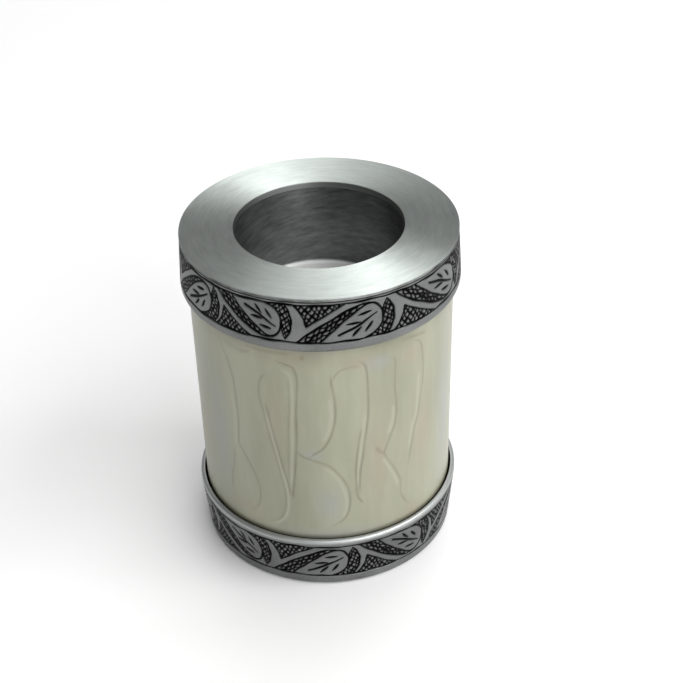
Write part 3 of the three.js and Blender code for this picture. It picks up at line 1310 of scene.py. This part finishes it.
@dataclass(frozen=True)
class Swirls:
    """The drawing in the enamel: pale ribbons, thin dark lines, soft patches, and painted shade where it
    meets the bands.

    Places are millimetres along the unrolled enamel, and above its lower edge.

    Attributes:
        bottom: Level of the enamel's lower edge in millimetres.
        radius: The enamel's radius.
        repeats: How often the drawing repeats round the body.
        line_width: Width of a dark line.
        ribbon_width: Width of a pale ribbon or a stain.
        SKIN: Depth of the outer face that is drawn on.
        END_FADE: Share of a curve over which each of its ends fades out.
        FOOT_SHADE: Height under which painted shade lies at the lower band; it fades in over FOOT_FADE.
        HEAD_SHADE_AND_STAIN: Height from which painted shade and a stain lie at the upper band; they fade
            in over HEAD_FADE.
        HEAD_STRENGTH: How strong that painted shade and stain is; it varies round the body by HEAD_SWELL.
        LINES: Strength and curve of each dark line.
        RIBBONS: Curve of each pale ribbon.
        BLUSHES: Middle and half sizes of each warm patch.
        COOLS: Middle and half sizes of each cool patch.
        STAINS: Curve of each brown stain.
    """

    bottom: float
    radius: float
    repeats: int = 3
    line_width: float = 0.50
    ribbon_width: float = 0.85

    SKIN: ClassVar[float] = 0.9
    END_FADE: ClassVar[float] = 0.1
    FOOT_SHADE: ClassVar[float] = 2.1
    FOOT_FADE: ClassVar[float] = 1.3
    HEAD_SHADE_AND_STAIN: ClassVar[float] = 54.5
    HEAD_FADE: ClassVar[float] = 4.5
    HEAD_STRENGTH: ClassVar[float] = 0.36
    HEAD_SWELL: ClassVar[float] = 0.14
    LINES: ClassVar[tuple[tuple[float, tuple[Point, ...]], ...]] = (
        (0.7, ((-29, 56), (-26.5, 53.5), (-25.2, 50), (-24.2, 46), (-23.8, 40), (-23.6, 35), (-24, 29),
               (-24.2, 26.5), (-22.6, 24), (-20, 19.5), (-18.4, 15), (-18.3, 11), (-19.3, 7.8), (-22, 5))),
        (0.6, ((-26, 24), (-26.6, 19), (-27.8, 14), (-28.3, 9.5))),
        (0.6, ((-13.5, 52), (-15.2, 50.7), (-16.3, 48), (-16.4, 44), (-15.6, 40), (-14.6, 34),
               (-13.4, 28.5), (-12, 21.5), (-11, 16), (-10.9, 11), (-11.5, 8), (-13.2, 5.4), (-17, 3.6))),
        (1.0, ((-15, 43), (-14.3, 39.5), (-13.7, 36), (-12.7, 31), (-11.9, 27), (-10.9, 22), (-9.9, 17.5),
               (-9.6, 13.5))),
        (0.5, ((-8.4, 52), (-8.6, 43), (-9.2, 34), (-9.6, 25), (-9.7, 17))),
        (1.2, ((-12.5, 56.3), (-9, 55.4), (-7.2, 54.6), (-6.3, 51.5), (-6.5, 47), (-7, 40), (-7.1, 34),
               (-7.5, 28), (-8.1, 21), (-8.8, 15), (-8.6, 13.2))),
        (1.0, ((-7.3, 30), (-6.5, 28), (-4.4, 26.9), (-0.6, 25.3), (1.4, 24), (3.4, 21.3), (4.9, 18.5),
               (5.8, 15), (5.8, 11), (5, 8), (3.5, 6), (0.5, 4.2))),
        (1.1, ((1.9, 53), (2, 50), (2.6, 46), (2.8, 41), (2.4, 37.5), (1.6, 34.3), (0.5, 31.8),
               (-0.9, 29.8), (-2.6, 28.6), (-4.4, 27))),
        (0.6, ((2.2, 51), (4, 53.6), (7, 54.4), (9.4, 54.2))),
        (1.1, ((8.5, 56.2), (10.3, 54.4), (10.9, 51.5), (11.1, 46), (11.1, 40), (10.8, 36.5), (10.1, 31.5),
               (9.5, 26.5), (8.8, 22), (8.5, 17), (8.6, 14))),
        (1.0, ((9.4, 36.5), (8.6, 31.5), (8, 27), (7.6, 22), (7.6, 17.5), (7.9, 14), (8.6, 12.3),
               (9.6, 10.8))),
        (0.8, ((15.6, 55.2), (18.4, 53.6), (18.6, 50), (18.5, 45), (18.9, 41), (18.9, 37), (18.4, 33.5),
               (17, 30), (15.8, 27), (15.5, 25), (17.6, 21), (19.2, 17.5), (20.3, 14.5), (20.4, 11),
               (20.9, 8.8), (22.2, 6.4), (24, 4.4))),
        (0.7, ((22, 57), (25.4, 56), (27, 54.2), (27.6, 51), (28, 46), (27.8, 42), (26.9, 37.5),
               (26.2, 33), (24.9, 29), (24.1, 25), (23.3, 21), (22.8, 17))),
    )
    RIBBONS: ClassVar[tuple[tuple[Point, ...], ...]] = (
        ((-25.4, 43), (-24.8, 36), (-25, 29), (-25.4, 25)),
        ((-15.2, 42), (-14.2, 36), (-12.9, 29.5), (-11.6, 22.5), (-10.4, 16.5), (-10.2, 12), (-10.8, 8),
         (-12.4, 5.2), (-16, 2.8)),
        ((-10.5, 54), (-8, 52), (-7.7, 45), (-8.1, 38), (-8.4, 30), (-8.9, 22), (-9.3, 15.5)),
        ((1.4, 46), (1.8, 41), (1.2, 36.5), (-0.6, 32)),
        ((-1, 24.4), (1.6, 22), (3.6, 18.6), (4.9, 14), (4.8, 10), (3.6, 7)),
        ((10.2, 40), (9.6, 34), (8.9, 28.5), (8.2, 22), (8.1, 16)),
        ((17.9, 40), (17.9, 36), (16.4, 31)),
        ((14.8, 24.4), (16.8, 20.4), (18.5, 16.6), (19.4, 13)),
        ((26.4, 47), (26, 40), (25.4, 34), (23.8, 29.5), (22.9, 23)),
    )
    BLUSHES: ClassVar[tuple[tuple[float, ...], ...]] = (
        (-12, 39, 2.6, 9), (13.5, 24, 3.2, 14), (24, 53, 5, 3.4), (-8, 57, 6, 2.4), (9, 55.5, 4, 2),
        (28, 26, 4, 12), (-22, 6.5, 4, 2.4), (24, 3, 4, 2.5),
    )
    COOLS: ClassVar[tuple[tuple[float, ...], ...]] = (
        (0.5, 12, 3.4, 5), (-3.4, 28, 2.2, 1.6), (-31, 26, 4, 16), (14, 54, 3, 2), (0, 1.5, 14, 2),
    )
    STAINS: ClassVar[tuple[tuple[Point, ...], ...]] = (
        ((-27, 57.4), (-24, 56.8), (-21, 56.4), (-18, 57.2)),
        ((-20, 58.6), (-14, 58.4), (-7, 58.8)),
        ((-5, 58.6), (-4.6, 57)),
        ((-28.5, 57.5), (-27.5, 55), (-26.6, 53.4)),
        ((13.2, 28.4), (13.6, 27.2), (14.2, 26.4), (15.4, 25.6)),
        ((20, 58.4), (25, 57.6), (29, 56.8)),
    )

    def drawn(self, points: np.ndarray) -> dict[str, np.ndarray]:
        """Draws everything on the enamel's vertices.

        Args:
            points: The vertices in millimetres.

        Returns:
            For each part of the drawing, how strongly each vertex shows it, from 0 to 1.
        """
        angle = turned_angle(points)
        level = points[:, 2] - self.bottom
        span = math.tau / self.repeats
        along = ((angle + span / 2) % span - span / 2) * self.radius
        outer = np.hypot(points[:, 0], points[:, 1]) > self.radius - self.SKIN
        lines = [self.trace(curve, along, level, self.line_width) * s for s, curve in self.LINES]
        ribbons = [self.trace(curve, along, level, self.ribbon_width) for curve in self.RIBBONS]
        stains = [self.trace(curve, along, level, self.ribbon_width) for curve in self.STAINS]
        drawing = {
            # The line attribute also carries painted shade where the enamel meets the bands, with a stain
            # under the upper one.
            "line": np.maximum(np.max(lines, axis=0), self.grime_and_painted_shade(along, level)),
            "ribbon": np.max(ribbons, axis=0),
            "stain": np.max(stains, axis=0),
            "blush": self.patches(self.BLUSHES, along, level),
            "cool": self.patches(self.COOLS, along, level),
        }
        return {name: np.clip(values, 0, 1) * outer for name, values in drawing.items()}

    @classmethod
    def trace(cls, curve: tuple[Point, ...], along: np.ndarray, level: np.ndarray,
              width: float) -> np.ndarray:
        """How strongly one curve shows at each place; it fades out at both ends."""
        away, share = Stroke(curve).distance(along, level)
        fade = np.clip(share / cls.END_FADE, 0, 1) * np.clip((1 - share) / cls.END_FADE, 0, 1)
        return np.exp(-(away / (width / 2)) ** 2) * fade

    def grime_and_painted_shade(self, along: np.ndarray, level: np.ndarray) -> np.ndarray:
        """How much painted shade lies where the enamel runs into the two bands, with a stain under the
        upper one.
        """
        foot = np.clip((self.FOOT_SHADE - level) / self.FOOT_FADE, 0, 1)
        head = np.clip((level - self.HEAD_SHADE_AND_STAIN) / self.HEAD_FADE, 0, 1)
        strength = self.HEAD_STRENGTH + self.HEAD_SWELL * np.sin(0.3 * along + 2.4)
        return np.maximum(foot, head * strength)

    @staticmethod
    def patches(places: tuple[tuple[float, ...], ...], along: np.ndarray, level: np.ndarray) -> np.ndarray:
        """How strongly soft patches show; each is its middle and its two half sizes."""
        shown = np.zeros(len(along))
        for x, y, wide, tall in places:
            shown = np.maximum(shown, np.exp(-((along - x) / wide) ** 2 - ((level - y) / tall) ** 2))
        return shown


@dataclass
class Lid:
    """The lift-out cup, its seal and the rim plate that screws down over it, in millimetres.

    Attributes:
        hole_radius: Radius of the opening.
        cup_wall: Thickness of the cup.
        cup_floor_radius: Inner radius of the cup at its floor.
        floor_round: Rounding between its wall and its floor.
        rim_edge: Height of the rim plate's outer edge.
        rim_inner: Thickness of the plate inside the spigot.
        hole_lip: How far the opening's edge reaches down past that, to hide the gap to the cup.
        lip_thickness: Thickness of the cup's lip.
        seal_gap: Clearance between the seal and the cup.
        spigot_inner: Inner radius of the threaded spigot.
        thread_crest: Radius of the spigot on the thread's rings.
        thread_root: Radius of the spigot between them.
        cup_break: Rounding of the cup's edges.
        seal_break: Rounding of the seal's edges.
        rim_break: Rounding of the rim plate's edges.
        cup_steps: Number of sides of the cup.
        rim_steps: Number of sides of the rim plate.
    """

    hole_radius: float = 21.5
    cup_wall: float = 1.2
    cup_floor_radius: float = 21.0
    floor_round: float = 1.5
    rim_edge: float = 0.9
    rim_inner: float = 1.6
    hole_lip: float = 0.2
    lip_thickness: float = 1.0
    seal_gap: float = 0.3
    spigot_inner: float = 26.8
    thread_crest: float = 29.2
    thread_root: float = 28.7
    cup_break: float = 0.05
    seal_break: float = 0.3
    rim_break: float = 0.08
    cup_steps: int = 360
    rim_steps: int = 480

    def build(self, rim: bpy.types.Material, well: bpy.types.Material,
              silicone: bpy.types.Material) -> None:
        """Makes the three pieces."""
        Piece("tealight_cup", "cup", "pewter_finish", self.cup(), well)
        Piece("seal_ring", "seal", "black_rubber", self.seal(), silicone)
        Piece("rim_plate", "rim", "pewter_finish", self.plate(), rim)

    def cup(self) -> bpy.types.Object:
        """The cup that the tealight stands in."""
        size = Extent.of("tealight_cup")
        seal = Extent.of("seal_ring")
        lip_top = seal.bottom - self.seal_gap
        lip_bottom = lip_top - self.lip_thickness
        outer = self.hole_radius + self.cup_wall
        floor = size.bottom + self.cup_wall
        under_round = self.floor_round + self.cup_wall
        under = (self.cup_floor_radius + self.cup_wall - under_round, size.bottom + under_round)
        outline = [
            (0, size.bottom),
            *arc(under, under_round, -90, 0, 8),
            (outer, lip_bottom),
            (size.radius, lip_bottom),
            (size.radius, lip_top),
            (outer, lip_top),
            (outer, size.top),
            (self.hole_radius, size.top),
            *arc((self.cup_floor_radius - self.floor_round, floor + self.floor_round),
                 self.floor_round, 0, -90, 8),
            (0, floor),
        ]
        piece = Lathe.turn("tealight_well_cup", outline, self.cup_steps)
        Lathe.break_edges(piece, self.cup_break)
        return piece

    def seal(self) -> bpy.types.Object:
        """The ring between the cup's lip and the rim plate."""
        size = Extent.of("seal_ring")
        inner = self.hole_radius + self.cup_wall + self.seal_gap
        outline = washer(inner, size.radius, size.bottom, size.top)
        piece = Lathe.turn("silicone_seal", outline, PLAIN_STEPS)
        Lathe.break_edges(piece, self.seal_break, 3)
        return piece

    def plate(self) -> bpy.types.Object:
        """The rim plate with its threaded spigot."""
        size = Extent.of("rim_plate")
        edge_bottom = size.top - self.rim_edge
        inner_bottom = size.top - self.rim_inner
        outline = [
            (self.spigot_inner, size.bottom),
            (self.thread_root, size.bottom),
            *thread_rings(self.thread_root, self.thread_crest, size.bottom + THREAD_PITCH / 4),
            (self.thread_root, edge_bottom),
            (size.radius, edge_bottom),
            (size.radius, size.top),
            (self.hole_radius, size.top),
            (self.hole_radius, inner_bottom - self.hole_lip),
            (self.hole_radius + self.cup_wall, inner_bottom - self.hole_lip),
            (self.hole_radius + self.cup_wall, inner_bottom),
            (self.spigot_inner, inner_bottom),
        ]
        piece = Lathe.turn("brushed_rim_plate", outline, self.rim_steps)
        Lathe.break_edges(piece, self.rim_break, 3)
        return piece


# ------------------------------------------------------------------ studio


@dataclass(frozen=True)
class Softbox:
    """A square soft lamp that points at the holder.

    Attributes:
        name: The lamp's name.
        azimuth: Its direction in degrees: 0 in front, growing to the right.
        elevation: Its height above the horizon in degrees.
        distance: Its distance in metres.
        size: Length of its sides in metres.
        power: Its power in watts.
    """

    name: str
    azimuth: float
    elevation: float
    distance: float
    size: float
    power: float

    def hang(self, target: Vector) -> None:
        """Places the lamp.

        Args:
            target: What it points at.
        """
        lamp = bpy.data.lights.new(self.name, "AREA")
        lamp.shape = "SQUARE"
        lamp.size = self.size
        lamp.energy = self.power
        holder = bpy.data.objects.new(self.name, lamp)
        bpy.context.scene.collection.objects.link(holder)
        turn, lift = math.radians(self.azimuth), math.radians(self.elevation)
        away = Vector((math.sin(turn) * math.cos(lift), -math.cos(turn) * math.cos(lift), math.sin(lift)))
        holder.location = target + away * self.distance
        holder.rotation_euler = away.to_track_quat("Z", "Y").to_euler()


@dataclass
class Studio:
    """A white table under soft light, and the camera.

    Attributes:
        elevation: How far the camera looks down, in degrees.
        distance: Its distance from the point it aims at, in millimetres.
        roll: Its turn about its own axis, in degrees.
        lens: Its focal length in millimetres.
        sensor: The width of its sensor in millimetres.
        clip_start: The nearest thing it sees, in metres.
        aim_level: Height on the axis that it aims past, in millimetres.
        aim_right: How far to the right of that it aims.
        aim_up: How far above that it aims.
        table_size: Length of the table's sides in metres.
        room_light: Strength of the light from all round.
        SOFTBOXES: The lamps.
    """

    elevation: float = 34.52
    distance: float = 405.5
    roll: float = -1.69
    lens: float = 80.0
    sensor: float = 36.0
    clip_start: float = 0.01
    aim_level: float = 42.5
    aim_right: float = 4.47
    aim_up: float = 10.26
    table_size: float = 6.0
    room_light: float = 0.21

    SOFTBOXES: ClassVar[tuple[Softbox, ...]] = (
        Softbox("front", 0, 45, 1.8, 1.0, 4.2),
        Softbox("front_right", 30, 30, 1.8, 1.0, 14.0),
        Softbox("right", 70, 45, 1.8, 1.0, 16.0),
        Softbox("far_right", 100, 35, 1.8, 1.2, 4.8),
        Softbox("back", 170, 63, 1.8, 1.2, 14.0),
    )

    def build(self) -> None:
        """Makes the floor, the light and the camera."""
        self.floor()
        self.world()
        middle = Vector((0, 0, self.aim_level * MM))
        for lamp in self.SOFTBOXES:
            lamp.hang(middle)
        self.camera()
        bpy.context.scene.view_settings.view_transform = "Standard"

    def floor(self) -> None:
        """A plain white table top."""
        bpy.ops.object.select_all(action="DESELECT")
        bpy.ops.mesh.primitive_plane_add(size=self.table_size, location=(0, 0, CAD_BOX[0].z))
        table = bpy.context.object
        table.name = "table_top"
        table.data.materials.append(WhiteTable().make())

    def world(self) -> None:
        """Even light from all round."""
        world = bpy.data.worlds.new("soft_room")
        world.use_nodes = True
        background = world.node_tree.nodes["Background"]
        background.inputs["Color"].default_value = (1.0, 1.0, 1.0, 1.0)
        background.inputs["Strength"].default_value = self.room_light
        bpy.context.scene.world = world

    def camera(self) -> None:
        """The camera, a little rolled."""
        lift, roll = math.radians(self.elevation), math.radians(self.roll)
        forward = Vector((0, math.cos(lift), -math.sin(lift)))
        level_right = Vector((1, 0, 0))
        level_up = level_right.cross(forward)
        right = level_right * math.cos(roll) + level_up * math.sin(roll)
        up = level_up * math.cos(roll) - level_right * math.sin(roll)
        target = Vector((0, 0, self.aim_level)) + right * self.aim_right + up * self.aim_up
        place = (target - forward * self.distance) * MM
        camera = bpy.data.cameras.new("camera")
        camera.lens = self.lens
        camera.sensor_width = self.sensor
        camera.clip_start = self.clip_start
        viewer = bpy.data.objects.new("camera", camera)
        bpy.context.scene.collection.objects.link(viewer)
        turned = Matrix((right, up, -forward)).transposed()
        viewer.matrix_world = Matrix.Translation(place) @ turned.to_4x4()
        bpy.context.scene.camera = viewer


def main() -> None:
    """Builds the studio and every piece of the holder."""
    logging.basicConfig(level=logging.INFO, format="%(name)s: %(message)s")
    Studio().build()
    pewter = EngravedPewter().make()
    brass = TurnedBrass().make()
    Base().build(pewter, brass, Felt().make())
    Body().build(pewter, brass, PearlEnamel().make())
    lid = Lid()
    rim = BrushedRim(Extent.of("rim_plate").top * MM)
    well = TurnedWell((Extent.of("tealight_cup").bottom + lid.cup_wall) * MM)
    lid.build(rim.make(), well.make(), Silicone().make())


if __name__ == "__main__":
    main()
